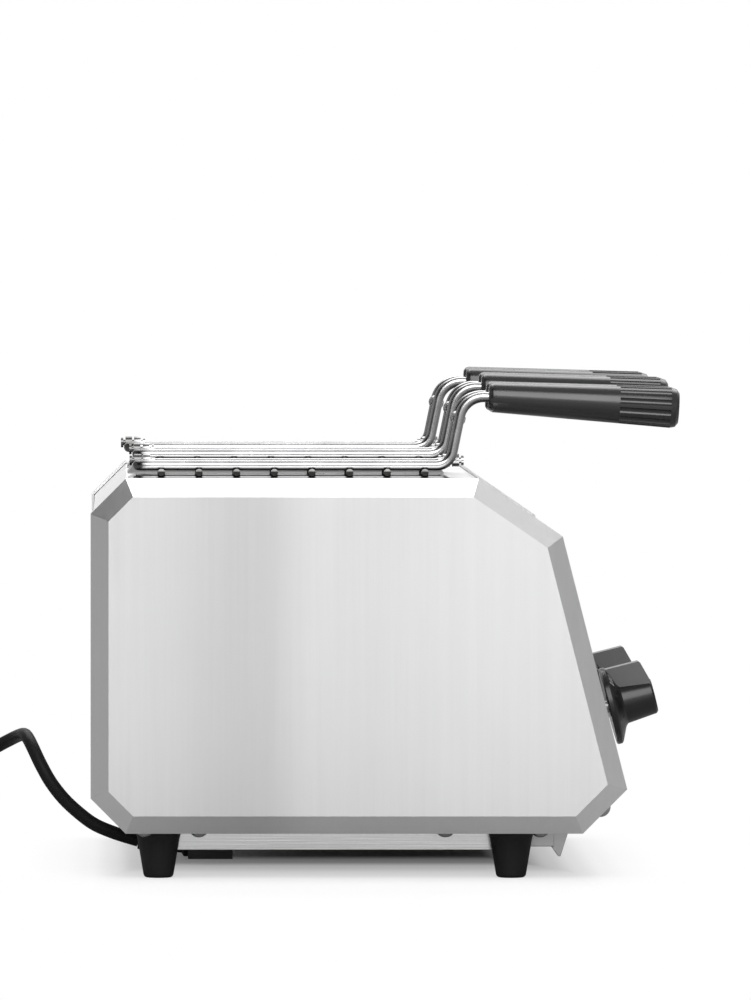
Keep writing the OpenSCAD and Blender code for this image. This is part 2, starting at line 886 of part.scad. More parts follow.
timer_size = 44;
timer_depth = 30;
selector_size = 36;
selector_depth = 34;
module timer() { on_panel(-knob_y, knob_up) switch_body(timer_size, timer_depth); }
module timer_shaft() { on_panel(-knob_y, knob_up) knob_shaft(timer_depth); }
module timer_knob() { on_panel(-knob_y, knob_up) knob(); }
module selector_switch() { on_panel(knob_y, knob_up) switch_body(selector_size, selector_depth); }
module selector_shaft() { on_panel(knob_y, knob_up) knob_shaft(selector_depth); }
module selector_knob() { on_panel(knob_y, knob_up) knob(); }

module pilot_lamp() {
    color("orange")
        on_panel(0, lamp_up) {
            translate([0, 0, seat])
                rotate_extrude($fn = fine)
                    polygon([
                        [0, 0], [lamp_d / 2 + 2, 0], [lamp_d / 2 + 2, 0.8],
                        [lamp_d / 2 + 0.6, 1.6], [lamp_d / 2 - 1, 3], [0, 3.6]
                    ]);
            translate([0, 0, -14])
                cylinder(h = 14 + seat + 0.1, r = lamp_d / 2, $fn = fine);
        }
}

// Tongs

// One jaw: the left one of a pair, with two eyes that turn on the hinge pins.
// Its eyes lie further forward than its wires' ends: 0 on jaw a, jaw_stagger on jaw b
module jaw(ahead) {
    color(wire_steel)
        difference() {
            jaw_wires(ahead);
            for (x = [bar_rear, hinge_x])
                barrel(x + ahead, eye_l + 2, pin_d / 2 + running);
        }
}

peg_r = 0.8;
peg_l = 7;
module jaw_wires(ahead) {
    corner = [riser_x + riser_run, -bar_y, handle_rise];
    tang = (handle_start + tang_l) * [cos(handle_tilt), 0, -sin(handle_tilt)];
    wire(
        [
            [bar_rear + ahead, -eye_end, 0], [bar_rear + ahead, -bar_y, 0],
            [riser_x, -bar_y, 0], corner, corner + tang
        ],
        [link_bend, lower_bend, upper_bend], bar_r
    );
    rod([hinge_x, -bar_y, hinge_rise], [hinge_x + ahead, -eye_end, hinge_rise], link_r);
    rod([spring_x, -bar_y, spring_rise], [spring_x, peg_l - bar_y, spring_rise], peg_r);
    for (x = [bar_rear, hinge_x])
        barrel(x + ahead, eye_l, eye_r);
    first = slot_rear + cage_start;
    last = first + (cage_wires - 1) * cage_pitch;
    for (k = [0:cage_wires - 1])
        translate([first + k * cage_pitch, 0, 0])
            wire(
                [
                    [0, -cage_out, -cage_drop], [0, -cage_y, -cage_drop],
                    [0, -cage_y, -cage_depth], [0, hook_l - cage_y, -cage_depth]
                ],
                [4, 4], cage_r
            );
    rod([first - 2.5, -rail_in_y, 14 - cage_depth], [last + 2.5, -rail_in_y, 14 - cage_depth], cage_r);
}

// A barrel on the hinge axis, centred on x
module barrel(x, l, r) {
    translate([x - l / 2, 0, hinge_rise])
        rotate([0, 90, 0])
            cylinder(h = l, r = r, $fn = fine);
}

// Puts a piece of pair i where it sits in its slot; side b is the right-hand jaw
module in_slot(i, b = false) {
    translate([-set_back[i], slot_y[i], bar_z(i)])
        mirror([0, b ? 1 : 0, 0])
            children();
}

// Two riveted pins, one at each end of the slot, whose heads clear the wires' ends
module hinge_pins(i) {
    pin_l = 2 * bar_r + jaw_stagger + 2 * play;
    color(wire_steel)
        in_slot(i)
            for (x = [bar_rear, hinge_x])
                translate([x - bar_r - play, 0, hinge_rise])
                    rotate([0, 90, 0]) {
                        cylinder(h = pin_l, r = pin_d / 2, $fn = fine);
                        translate([0, 0, -1.2])
                            cylinder(h = 1.2 + eps, r = pin_d / 2 + 1, $fn = fine);
                        translate([0, 0, pin_l - eps])
                            cylinder(h = 1.2, r = pin_d / 2 + 1, $fn = fine);
                    }
}

// A handle on the jaw's tang, turned from black plastic and fluted at its free end
module handle() {
    thin = handle_thin_d / 2;
    thick = handle_thick_d / 2;
    taper = atan((thick - thin) / handle_l);
    color(black)
        translate([riser_x + riser_run, -bar_y, handle_rise])
            rotate([0, 90 + handle_tilt, 0])
                translate([0, 0, handle_start])
                    difference() {
                        rotate_extrude($fn = fine)
                            polygon([
                                [0, 0], [thin - 1.8, 0], [thin - 0.5, 1], [thin, 2.4],
                                [thick, handle_l - 4], [thick - 0.6, handle_l - 1.4],
                                [thick - end_round, handle_l], [0, handle_l]
                            ]);
                        translate([0, 0, -1])
                            cylinder(h = tang_l + 1.5, r = bar_r + running, $fn = fine);
                        for (k = [0:flute_count - 1])
                            rotate([0, 0, (k + 0.5) * 360 / flute_count])
                                translate([thick + flute_r - 1, 0, handle_l - 4])
                                    rotate([0, 180 + taper, 0])
                                        cylinder(h = flute_l, r = flute_r, $fn = round_fn);
                    }
}

// A coil spring between the two risers, wound as one tube
spring_wire_r = 0.6;
spring_half = bar_y - bar_r - 2.6;
spring_lift = 0.5;
spring_rings = 8;
module spring(i) {
    r = spring_d / 2 - spring_wire_r;
    n = spring_turns * spring_rings;
    reach = spring_half - spring_wire_r - seat;
    path = [
        for (k = [0:n])
            [r * cos(360 * k / spring_rings), -reach + 2 * reach * k / n, r * sin(360 * k / spring_rings)]
    ];
    color(wire_steel)
        in_slot(i)
            translate([spring_x, 0, spring_rise + spring_lift])
                coil_tube(path, spring_wire_r, 6);
}

// As tube(), for a path that turns round the y axis
module coil_tube(p, r, sides) {
    n = len(p);
    points = [
        for (i = [0:n - 1])
            let (
                along = tangent(p, i),
                out = unit([p[i].x, 0, p[i].z]),
                up = cross(along, out)
            )
            each [for (k = [0:sides - 1]) p[i] + r * (cos(360 * k / sides) * out + sin(360 * k / sides) * up)]
    ];
    walls = [
        for (i = [0:n - 2], k = [0:sides - 1])
            let (
                a = i * sides + k,
                b = i * sides + (k + 1) % sides
            )
            each [[a, b, a + sides], [b, b + sides, a + sides]]
    ];
    start = [for (k = [sides - 1:-1:0]) k];
    end = [for (k = [0:sides - 1]) (n - 1) * sides + k];
    polyhedron(points = points, faces = concat([start], walls, [end]));
}

module left_hinge_pins() { hinge_pins(0); }
module left_tong_jaw_a() { in_slot(0) jaw(0); }
module left_tong_jaw_b() { in_slot(0, true) jaw(jaw_stagger); }
module left_handle_a() { in_slot(0) handle(); }
module left_handle_b() { in_slot(0, true) handle(); }
module left_spring() { spring(0); }
module middle_hinge_pins() { hinge_pins(1); }
module middle_tong_jaw_a() { in_slot(1) jaw(0); }
module middle_tong_jaw_b() { in_slot(1, true) jaw(jaw_stagger); }
module middle_handle_a() { in_slot(1) handle(); }
module middle_handle_b() { in_slot(1, true) handle(); }
module middle_spring() { spring(1); }
module right_hinge_pins() { hinge_pins(2); }
module right_tong_jaw_a() { in_slot(2) jaw(0); }
module right_tong_jaw_b() { in_slot(2, true) jaw(jaw_stagger); }
module right_handle_a() { in_slot(2) handle(); }
module right_handle_b() { in_slot(2, true) handle(); }
module right_spring() { spring(2); }

// Cord

// A small moulded box under the floor, in which the cord's cores turn up
box_l = 22;
box_w = 26;
box_low = 3.5;
gland_r = 6;
module cord_entry_box() {
    x0 = duct_hole_x - box_l / 2 - 3;
    color(black)
        difference() {
            translate([x0, gland_y - box_w / 2, box_low])
                cube([box_l, box_w, base_under - seat - box_low]);
            translate([x0 + sheet_t, gland_y - box_w / 2 + sheet_t, box_low + sheet_t])
                cube([box_l - 2 * sheet_t, box_w - 2 * sheet_t, foot_h]);
            translate([x0 - 1, gland_y, cord_z])
                rotate([0, 90, 0])
                    cylinder(h = sheet_t + 2, r = gland_r + seat, $fn = fine);
        }
}

// Strain relief: a flanged rubber gland with a tapered, ribbed tail
module cord_gland() {
    x0 = duct_hole_x - box_l / 2 - 3;
    tail = x0 - seat - cord_route[0].x - 1;
    color(black)
        translate([x0 - seat, gland_y, cord_z])
            rotate([0, -90, 0])
                difference() {
                    union() {
                        translate([0, 0, -sheet_t - 2])
                            cylinder(h = sheet_t + 2.5, r = gland_r, $fn = fine);
                        rotate_extrude($fn = fine)
                            polygon([
                                [0, 0], [8, 0], [8, 2], [6.2, 3], [cord_d / 2 + 1.1, tail], [0, tail]
                            ]);
                    }
                    translate([0, 0, -sheet_t - 3])
                        cylinder(h = tail + sheet_t + 2, r = cord_d / 2 - 0.6, $fn = fine);
                }
}

module cord_run() {
    color(black)
        tube(cord_route, cord_d / 2, 8);
}

// The coil winds in on the upper layer and out again on the lower one
function coil_point(turn) =
    let (
        half = coil_turns / 2,
        r = coil_r - coil_pitch * (half - abs(turn - half)),
        down = min(1, max(0, (turn - half + 0.25) / 0.5)),
        a = 90 + 360 * turn
    )
    [coil_centre.x + r * cos(a), coil_centre.y + r * sin(a), cord_d / 2 + coil_pitch * (1 - down)];
function coil_path() = [for (k = [0:coil_turns * coil_rings]) coil_point(k / coil_rings)];
function tail_path() =
    let (end = coil_point(coil_turns))
    [for (t = tail_rise) [end.x + t[0], end.y, t[1]]];
module cord_coil() {
    color(black)
        tube(concat([cord_route[len(cord_route) - 1]], coil_path(), tail_path()), cord_d / 2, coil_sides);
}

module cord_tie() {
    inner_r = coil_r - coil_pitch * coil_turns / 2 + 2.9 - cord_d / 2;
    outer_r = coil_r - 1.15 + cord_d / 2;
    high = cord_d / 2 * (1 + sin(60)) + coil_pitch + 0.15;
    color("gray")
        translate([coil_centre.x, coil_centre.y, 0])
            rotate([0, 0, 200])
                translate([0, -4, 0])
                    difference() {
                        translate([inner_r - 1, 0, 0])
                            cube([outer_r - inner_r + 2, 8, high + 1]);
                        translate([inner_r, -1, -1])
                            cube([outer_r - inner_r, 10, high + 1]);
                    }
}

// Earthed two-pin plug, lying on its side
plug_r = 17;
module mains_plug() {
    end = coil_point(coil_turns);
    last = tail_rise[len(tail_rise) - 1];
    before = tail_rise[len(tail_rise) - 2];
    rise = atan((last[1] - before[1]) / (last[0] - before[0]));
    color(black)
        translate([end.x + last[0], end.y, last[1]])
            rotate([0, 90 - rise, 0])
                difference() {
                    union() {
                        rotate_extrude($fn = fine)
                            polygon([
                                [0, seat], [4.6, seat], [6, 14], [8.5, 18], [14, 22], [plug_r - 2, 27],
                                [plug_r, 30], [plug_r, 41], [plug_r - 1, 42], [0, 42]
                            ]);
                        for (side = [-1, 1])
                            translate([0, side * 9.5, 40])
                                cylinder(h = 20, r = 2.4, $fn = fine);
                    }
                    translate([-2.5, 0, 30])
                        cylinder(h = 20, r = 2.4, $fn = fine);
                }
}

in_frame() left_side_panel();
in_frame() right_side_panel();
in_frame() top_deck();
in_frame() back_panel();
in_frame() control_panel();
in_frame() base_plate();
in_frame() slot_collars();
in_frame() front_bulkhead();
in_frame() rear_bulkhead();
in_frame() heat_shields();
in_frame() guard_grids();
in_frame() quartz_tubes();
in_frame() heating_coils();
in_frame() ceramic_caps();
in_frame() wire_duct();
in_frame() terminal_block();
in_frame() core_wires();
in_frame() case_screws();
in_frame() foot_rear_left();
in_frame() foot_rear_right();
in_frame() foot_front_left();
in_frame() foot_front_right();
in_frame() foot_screws();
in_frame() tray_rails();
in_frame() crumb_tray();
in_frame() timer();
in_frame() timer_shaft();
in_frame() timer_knob();
in_frame() selector_switch();
in_frame() selector_shaft();
in_frame() selector_knob();
in_frame() pilot_lamp();
in_frame() left_hinge_pins();
in_frame() left_tong_jaw_a();
in_frame() left_tong_jaw_b();
in_frame() left_handle_a();
in_frame() left_handle_b();
in_frame() left_spring();
in_frame() middle_hinge_pins();
in_frame() middle_tong_jaw_a();
in_frame() middle_tong_jaw_b();
in_frame() middle_handle_a();
in_frame() middle_handle_b();
in_frame() middle_spring();
in_frame() right_hinge_pins();
in_frame() right_tong_jaw_a();
in_frame() right_tong_jaw_b();
in_frame() right_handle_a();
in_frame() right_handle_b();
in_frame() right_spring();
in_frame() cord_entry_box();
in_frame() cord_gland();
in_frame() cord_run();
in_frame() cord_coil();
in_frame() cord_tie();
in_frame() mains_plug();
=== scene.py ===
"""Looks of a counter sandwich toaster, built round its packed CAD model."""

import json
import math

import bmesh
import bpy
from bpy.props import FloatProperty, FloatVectorProperty, IntProperty, PointerProperty
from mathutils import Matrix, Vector
from mathutils.bvhtree import BVHTree

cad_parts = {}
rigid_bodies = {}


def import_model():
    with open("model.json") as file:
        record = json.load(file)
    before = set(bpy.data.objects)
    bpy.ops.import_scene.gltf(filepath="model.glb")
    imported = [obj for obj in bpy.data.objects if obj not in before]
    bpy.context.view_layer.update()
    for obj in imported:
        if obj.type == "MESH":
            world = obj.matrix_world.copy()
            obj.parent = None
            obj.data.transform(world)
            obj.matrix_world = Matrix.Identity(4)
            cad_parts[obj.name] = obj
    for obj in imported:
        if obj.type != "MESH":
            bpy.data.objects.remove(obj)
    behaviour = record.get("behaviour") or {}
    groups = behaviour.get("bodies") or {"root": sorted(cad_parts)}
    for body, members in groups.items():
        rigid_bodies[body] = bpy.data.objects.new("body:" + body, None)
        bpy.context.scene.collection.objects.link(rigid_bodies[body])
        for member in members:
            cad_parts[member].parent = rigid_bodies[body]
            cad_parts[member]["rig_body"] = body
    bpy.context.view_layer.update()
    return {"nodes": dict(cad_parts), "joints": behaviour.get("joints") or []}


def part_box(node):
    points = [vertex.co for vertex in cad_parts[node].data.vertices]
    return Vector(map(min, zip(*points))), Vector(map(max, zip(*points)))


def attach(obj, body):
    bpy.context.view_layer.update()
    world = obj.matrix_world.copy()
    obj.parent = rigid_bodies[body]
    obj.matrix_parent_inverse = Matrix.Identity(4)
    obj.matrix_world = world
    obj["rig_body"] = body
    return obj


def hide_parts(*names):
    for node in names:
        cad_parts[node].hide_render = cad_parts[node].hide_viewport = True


bl_info = {
    "name": "Counter Sandwich Toaster",
    "version": (1, 0, 0),
    "blender": (4, 5, 0),
    "location": "3D Viewport > Sidebar > Toaster",
    "description": "Finishes a slot toaster in brushed steel, bright wire, plastic and rubber",
    "category": "Object",
}

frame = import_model()
NODES = frame["nodes"]

# The side panels span the casing. X runs from the rear to the front, Y from left to right.
PANEL_LOW, PANEL_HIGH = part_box("left_side_panel")
REAR_X, FRONT_X, LEFT_Y = PANEL_LOW.x, PANEL_HIGH.x, PANEL_LOW.y
SIDEWAYS = Vector((0, 1, 0))
PAIRS = ("left", "middle", "right")
JAWS = ("a", "b")


# Settings


class CameraSettings(bpy.types.PropertyGroup):
    """Where the camera stands beside the left side panel, and its lens."""

    distance: FloatProperty(
        name="Distance", description="From the left side panel to the camera",
        default=4.9, min=1, max=20, unit="LENGTH",
    )
    ahead: FloatProperty(
        name="Ahead", description="How far in front of the rear face the camera stands",
        default=0.0094, unit="LENGTH",
    )
    height: FloatProperty(
        name="Height", description="Height of the camera above the table",
        default=0.338, unit="LENGTH",
    )
    lens: FloatProperty(
        name="Lens", description="Focal length for a 36 mm sensor on the long side",
        default=364.5, min=20, max=1000, unit="CAMERA",
    )
    aside: FloatProperty(
        name="Aside", description="Lens shift towards the machine's front",
        default=0.2655, min=-1, max=1,
    )
    down: FloatProperty(
        name="Down", description="Lens shift downwards",
        default=0.3175, min=-1, max=1,
    )


class LightSettings(bpy.types.PropertyGroup):
    """Studio light and the white surroundings."""

    fill: FloatProperty(
        name="Fill", description="Level of the surroundings overhead on matt surfaces",
        default=0.55, min=0, max=1,
    )
    key: FloatProperty(
        name="Key", description="Power of the overhead softbox",
        default=36, min=0, max=500, unit="POWER",
    )
    front: FloatProperty(
        name="Front", description="Power of the softbox on the camera's side",
        default=125, min=0, max=500, unit="POWER",
    )
    floor: FloatVectorProperty(
        name="Floor", description="Colour of the table top",
        default=(0.9, 0.9, 0.9), size=3, subtype="COLOR", min=0, max=1,
    )


class SteelSettings(bpy.types.PropertyGroup):
    """Sheet and wire."""

    sheet: FloatVectorProperty(
        name="Sheet", description="Colour of the brushed casing",
        default=(0.93, 0.93, 0.932), size=3, subtype="COLOR", min=0, max=1,
    )
    # Painted shade: the slots' collars are coloured dark for the shaded gap under the tongs' bars
    shaded_collar: FloatVectorProperty(
        name="Collars", description="Colour of the slots' collars, dulled by heat",
        default=(0.26, 0.26, 0.26), size=3, subtype="COLOR", min=0, max=1,
    )
    tray: FloatVectorProperty(
        name="Tray", description="Colour of the crumb tray",
        default=(0.6, 0.6, 0.6), size=3, subtype="COLOR", min=0, max=1,
    )
    inner: FloatVectorProperty(
        name="Inner sheet", description="Colour of the heated inner walls",
        default=(0.4, 0.385, 0.365), size=3, subtype="COLOR", min=0, max=1,
    )
    wire: FloatVectorProperty(
        name="Wire", description="Colour of the tongs' wire",
        default=(0.47, 0.47, 0.475), size=3, subtype="COLOR", min=0, max=1,
    )
    spring_wire: FloatProperty(
        name="Spring wire", description="Diameter of the springs' wire",
        default=0.0012, min=0.0005, max=0.002, unit="LENGTH",
    )
    spring_turns: IntProperty(
        name="Spring turns", description="Turns of a spring", default=9, min=5, max=14,
    )
    roughness: FloatProperty(
        name="Roughness", description="How dull the brushed casing is",
        default=0.3, min=0.05, max=1,
    )
    fold: FloatProperty(
        name="Fold", description="Rounding of the folded edges",
        default=0.0007, min=0, max=0.003, unit="LENGTH",
    )


class PlasticSettings(bpy.types.PropertyGroup):
    """Handles, knobs, feet and switches."""

    gloss: FloatVectorProperty(
        name="Gloss black", description="Colour of the handles and knobs",
        default=(0.006, 0.006, 0.0064), size=3, subtype="COLOR", min=0, max=1,
    )
    # The satin flats' paler colour is a painted reflection; their greater dullness is real
    satin_sheen: FloatVectorProperty(
        name="Satin black", description="Colour of the flat grips of the knobs",
        default=(0.1, 0.1, 0.102), size=3, subtype="COLOR", min=0, max=1,
    )
    rubber: FloatVectorProperty(
        name="Rubber", description="Colour of the feet",
        default=(0.009, 0.009, 0.0095), size=3, subtype="COLOR", min=0, max=1,
    )
    lamp: FloatVectorProperty(
        name="Lamp", description="Colour of the pilot lamp's lens",
        default=(0.75, 0.18, 0.02), size=3, subtype="COLOR", min=0, max=1,
    )
    scale_marks: IntProperty(
        name="Scale marks", description="Marks on a knob's skirt, on each side of its pointer",
        default=3, min=1, max=12,
    )


class CordSettings(bpy.types.PropertyGroup):
    """The mains cord and its coil."""

    diameter: FloatProperty(
        name="Diameter", description="Outside diameter of the cord",
        default=0.0065, min=0.004, max=0.01, unit="LENGTH",
    )
    colour: FloatVectorProperty(
        name="Colour", description="Colour of the cord's sheath",
        default=(0.009, 0.009, 0.0095), size=3, subtype="COLOR", min=0, max=1,
    )
    coil_radius: FloatProperty(
        name="Coil radius", description="Radius of the coil's outermost turn",
        default=0.046, min=0.03, max=0.1, unit="LENGTH",
    )
    coil_turns: FloatProperty(
        name="Coil turns", description="Turns in the coil", default=5.5, min=1, max=12,
    )
    coil_pitch: FloatProperty(
        name="Coil pitch", description="Distance between neighbouring turns",
        default=0.007, min=0.004, max=0.012, unit="LENGTH",
    )


# Sizes and places, in metres

# Points of the cord: depth from the rear face, side, height
CORD_ROUTE = (
    (0.022, -0.051, 0.0124), (0.012, -0.051, 0.0155), (0.002, -0.051, 0.0197),
    (-0.006, -0.051, 0.0255), (-0.0135, -0.051, 0.0325), (-0.020, -0.0505, 0.0408),
    (-0.025, -0.0475, 0.0495), (-0.0285, -0.042, 0.0565), (-0.031, -0.0345, 0.061),
    (-0.0328, -0.026, 0.0629), (-0.0348, -0.017, 0.0625), (-0.038, -0.0085, 0.0608),
    (-0.043, -0.0015, 0.0579), (-0.0495, 0.0035, 0.0542), (-0.0575, 0.0062, 0.050),
    (-0.0665, 0.007, 0.0454), (-0.077, 0.0068, 0.0396), (-0.090, 0.0062, 0.032),
    (-0.103, 0.0056, 0.0242), (-0.115, 0.0052, 0.0175), (-0.126, 0.005, 0.0127),
    (-0.137, 0.005, 0.0104),
)
# Start of the cord inside its gland, from its first point
INTO_GLAND = Vector((0.0015, 0, -0.0004))
# Middle of the coil: depth from the rear face, side
COIL_CENTRE = (-0.148, -0.041)
# Turns of the coil over which the cord passes from the upper layer to the lower one
COIL_PASSAGE = 0.5
# Rise of the cord's end to the plug: run along the depth, height
TAIL_RISE = ((0.008, 0.0036), (0.015, 0.0045), (0.022, 0.006), (0.030, 0.0083))

# Rounding of the edges of the handles, and of the knobs and feet
HANDLE_EDGE = 0.0005
MOULDING_EDGE = 0.0006

# Fineness of the streaks, and depth of the relief of sheet and moulded skin, and of wire
SHEET_GRAIN = 1400
WIRE_GRAIN = 2200
SKIN_RELIEF = 0.0002
WIRE_RELIEF = 0.0001

# Painted shade on the tongs: its colour, how far below the pins it starts at the welds, how far
# down it goes there, and how far forward from the pins' rear end it goes at the eyes
PAINTED_SHADE_COLOUR = (0.025, 0.023, 0.02)
WELD_START = 0.002
WELD_REACH = 0.02
EYE_REACH = 0.014

# A knob's satin flats with their painted sheen: where they start along the pointer from its axis,
# their soft edge
FLAT_START = 0.0035
FLAT_EDGE = 0.001

# Two corners of the table top, and the middle of the patch that takes the shadow
TABLE_CORNERS = ((-40, -12), (40, 80))
SHADOW_MIDDLE = (-0.0184, 0.05)
# Direction of a dark flag in what metal mirrors
FLAG = (-0.61, -0.5, 0.61)


# Helpers


def add_node(tree, kind, inputs=None, **settings):
    """A shader node with its settings made and its inputs set or linked."""
    node = tree.nodes.new(kind)
    for name, value in settings.items():
        setattr(node, name, value)
    for name, value in (inputs or {}).items():
        socket = node.inputs[name]
        if isinstance(value, bpy.types.NodeSocket):
            tree.links.new(value, socket)
        else:
            socket.default_value = value
    return node


def calculate(tree, operation, *values):
    """The result of a Math node."""
    node = add_node(tree, "ShaderNodeMath", dict(enumerate(values)), operation=operation)
    return node.outputs[0]


def part_of(tree, vector, axis):
    """One of a vector's three values."""
    return add_node(tree, "ShaderNodeSeparateXYZ", {0: vector}).outputs[axis]


def measure_along(tree, place, direction):
    """How far a place lies along a direction."""
    node = add_node(tree, "ShaderNodeVectorMath", {0: place, 1: direction},
                    operation="DOT_PRODUCT")
    return node.outputs["Value"]


def spread(tree, value, start, end, low=0.0, high=1.0, smooth=False):
    """A value that runs from low to high while another runs from start to end."""
    node = add_node(tree, "ShaderNodeMapRange",
                    {"Value": value, "From Min": start, "From Max": end,
                     "To Min": low, "To Max": high},
                    interpolation_type="SMOOTHSTEP" if smooth else "LINEAR")
    return node.outputs["Result"]


def add_ramp(tree, value, low, high, stops, blend="EASE"):
    """A tone or a colour that follows stops while value runs from low to high."""
    ramp = add_node(tree, "ShaderNodeValToRGB", {0: spread(tree, value, low, high)})
    ramp.color_ramp.interpolation = blend
    elements = ramp.color_ramp.elements
    while len(elements) < len(stops):
        elements.new(0.5)
    for element, (spot, level) in zip(elements, stops):
        colour = level if isinstance(level, tuple) else (level, level, level)
        element.position = spot
        element.color = (*colour, 1)
    return ramp.outputs[0]


def mix_colours(tree, share, first, second, blend="MIX"):
    """Two colours mixed by a share."""
    node = add_node(tree, "ShaderNodeMix", {0: share, 6: first, 7: second},
                    data_type="RGBA", blend_type=blend)
    return node.outputs[2]


def mix_values(tree, share, first, second):
    """Two values mixed by a share."""
    return add_node(tree, "ShaderNodeMix", {0: share, 2: first, 3: second}).outputs[0]


def mix_shaders(tree, share, first, second):
    """Two shader nodes mixed by a share."""
    return add_node(tree, "ShaderNodeMixShader",
                    {0: share, 1: first.outputs[0], 2: second.outputs[0]})


def add_noise(tree, place, scale, detail, roughness=0.5, distortion=0.0):
    """Noise over the surface."""
    node = add_node(tree, "ShaderNodeTexNoise",
                    {"Vector": place, "Scale": scale, "Detail": detail,
                     "Roughness": roughness, "Distortion": distortion})
    return node.outputs["Fac"]


def add_relief(tree, height, strength, depth):
    """The normal of a fine relief."""
    node = add_node(tree, "ShaderNodeBump",
                    {"Height": height, "Strength": strength, "Distance": depth})
    return node.outputs[0]


def add_surface(tree, inputs):
    """A material's shader, led to its output."""
    shader = add_node(tree, "ShaderNodeBsdfPrincipled", inputs)
    add_node(tree, "ShaderNodeOutputMaterial", {"Surface": shader.outputs[0]})


def new_group(name, inputs, outputs):
    """An empty shader node group with its named sockets."""
    group = bpy.data.node_groups.new(name, "ShaderNodeTree")
    for socket, kind, default in inputs:
        made = group.interface.new_socket(socket, in_out="INPUT", socket_type=kind)
        if default is not None:
            made.default_value = default
    for socket, kind in outputs:
        group.interface.new_socket(socket, in_out="OUTPUT", socket_type=kind)
    start = group.nodes.new("NodeGroupInput")
    end = group.nodes.new("NodeGroupOutput")
    return group, start.outputs, end.inputs


def place_group(tree, name, inputs):
    """One of the shared effects, placed in a material with its own values."""
    return add_node(tree, "ShaderNodeGroup", inputs, node_tree=bpy.data.node_groups[name])


def new_material(name):
    """An empty material, its tree and its surface's own coordinates."""
    made = bpy.data.materials.new(name)
    made.use_nodes = True
    tree = made.node_tree
    tree.nodes.clear()
    return made, tree, add_node(tree, "ShaderNodeTexCoord").outputs["Object"]


def rgba(colour, shade=1.0):
    """A colour with its alpha, made darker or paler by a shade."""
    return (colour[0] * shade, colour[1] * shade, colour[2] * shade, 1.0)


def grain_along(axis, share=0.012):
    """How the grain is stretched so that its streaks run along one axis."""
    return tuple(share if name == axis else 1 for name in "XYZ")


def link_object(name, data):
    """A new object in the scene."""
    made = bpy.data.objects.new(name, data)
    bpy.context.scene.collection.objects.link(made)
    return made


def paint(made, *nodes):
    """Gives CAD nodes a material."""
    for node in nodes:
        mesh = NODES[node].data
        mesh.materials.clear()
        mesh.materials.append(made)


def body_of(node):
    """The body that carries a CAD node."""
    return NODES[node]["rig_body"]


def rounded_copy(node, name, made, fold, segments=2, angle=28):
    """A piece with a CAD node's shape and its edges rounded, which stands for that node."""
    mesh = NODES[node].data.copy()
    mesh.name = name
    if "custom_normal" in mesh.attributes:
        mesh.attributes.remove(mesh.attributes["custom_normal"])
    work = bmesh.new()
    work.from_mesh(mesh)
    bmesh.ops.remove_doubles(work, verts=work.verts, dist=2e-6)
    bmesh.ops.dissolve_limit(
        work, angle_limit=math.radians(0.4), verts=work.verts, edges=work.edges
    )
    work.to_mesh(mesh)
    work.free()
    mesh.shade_smooth()
    mesh.set_sharp_from_angle(angle=math.radians(angle))
    mesh.materials.clear()
    mesh.materials.append(made)
    piece = link_object(name, mesh)
    bevel = piece.modifiers.new("Fold", "BEVEL")
    bevel.width = fold
    bevel.segments = segments
    bevel.limit_method = "ANGLE"
    bevel.angle_limit = math.radians(angle)
    bevel.use_clamp_overlap = True
    bevel.harden_normals = True
    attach(piece, body_of(node))
    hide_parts(node)
    return piece


def tube_curve(name, points, diameter, made, body, sides=6):
    """A round tube along points, as one open spline."""
    curve = bpy.data.curves.new(name, "CURVE")
    curve.dimensions = "3D"
    curve.bevel_depth = diameter / 2
    curve.bevel_resolution = sides
    curve.use_fill_caps = True
    spline = curve.splines.new("POLY")
    spline.points.add(len(points) - 1)
    for spot, p in zip(spline.points, points):
        spot.co = (*p, 1)
    spline.use_smooth = True
    curve.materials.append(made)
    piece = link_object(name, curve)
    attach(piece, body)
    return piece


def smooth_line(points, steps=4):
    """A Catmull-Rom line through points."""
    found = []
    for i in range(len(points) - 1):
        a = Vector(points[max(i - 1, 0)])
        b = Vector(points[i])
        c = Vector(points[i + 1])
        d = Vector(points[min(i + 2, len(points) - 1)])
        for k in range(steps):
            t = k / steps
            found.append(
                0.5 * (2 * b + (c - a) * t + (2 * a - 5 * b + 4 * c - d) * t**2
                       + (3 * b - a - 3 * c + d) * t**3)
            )
    found.append(Vector(points[-1]))
    return found


# Shared effects


def make_drawn_grain():
    """Fine streaks of brushing or drawing, with a tone and a height."""
    group, given, out = new_group(
        "Drawn Grain",
        [("Vector", "NodeSocketVector", None), ("Direction", "NodeSocketVector", (1, 1, 0.02)),
         ("Fineness", "NodeSocketFloat", 900)],
        [("Tone", "NodeSocketFloat"), ("Height", "NodeSocketFloat")],
    )
    stretched = add_node(group, "ShaderNodeVectorMath",
                         {0: given["Vector"], 1: given["Direction"]},
                         operation="MULTIPLY").outputs[0]
    fine = add_noise(group, stretched, given["Fineness"], 3.0, roughness=0.6)
    coarser = calculate(group, "MULTIPLY", given["Fineness"], 0.3)
    broad = add_noise(group, stretched, coarser, 2.0)
    both = calculate(group, "ADD", fine, broad)
    group.links.new(calculate(group, "MULTIPLY", both, 0.5), out["Tone"])
    group.links.new(fine, out["Height"])


def make_soft_patches():
    """Broad, soft patches between two values, such as handling or dulling."""
    group, given, out = new_group(
        "Soft Patches",
        [("Vector", "NodeSocketVector", None), ("Scale", "NodeSocketFloat", 12),
         ("Low", "NodeSocketFloat", 0.0), ("High", "NodeSocketFloat", 1.0)],
        [("Value", "NodeSocketFloat")],
    )
    noise = add_noise(group, given["Vector"], given["Scale"], 4.0, distortion=0.4)
    ranged = spread(group, noise, 0.3, 0.7, given["Low"], given["High"], smooth=True)
    group.links.new(ranged, out["Value"])


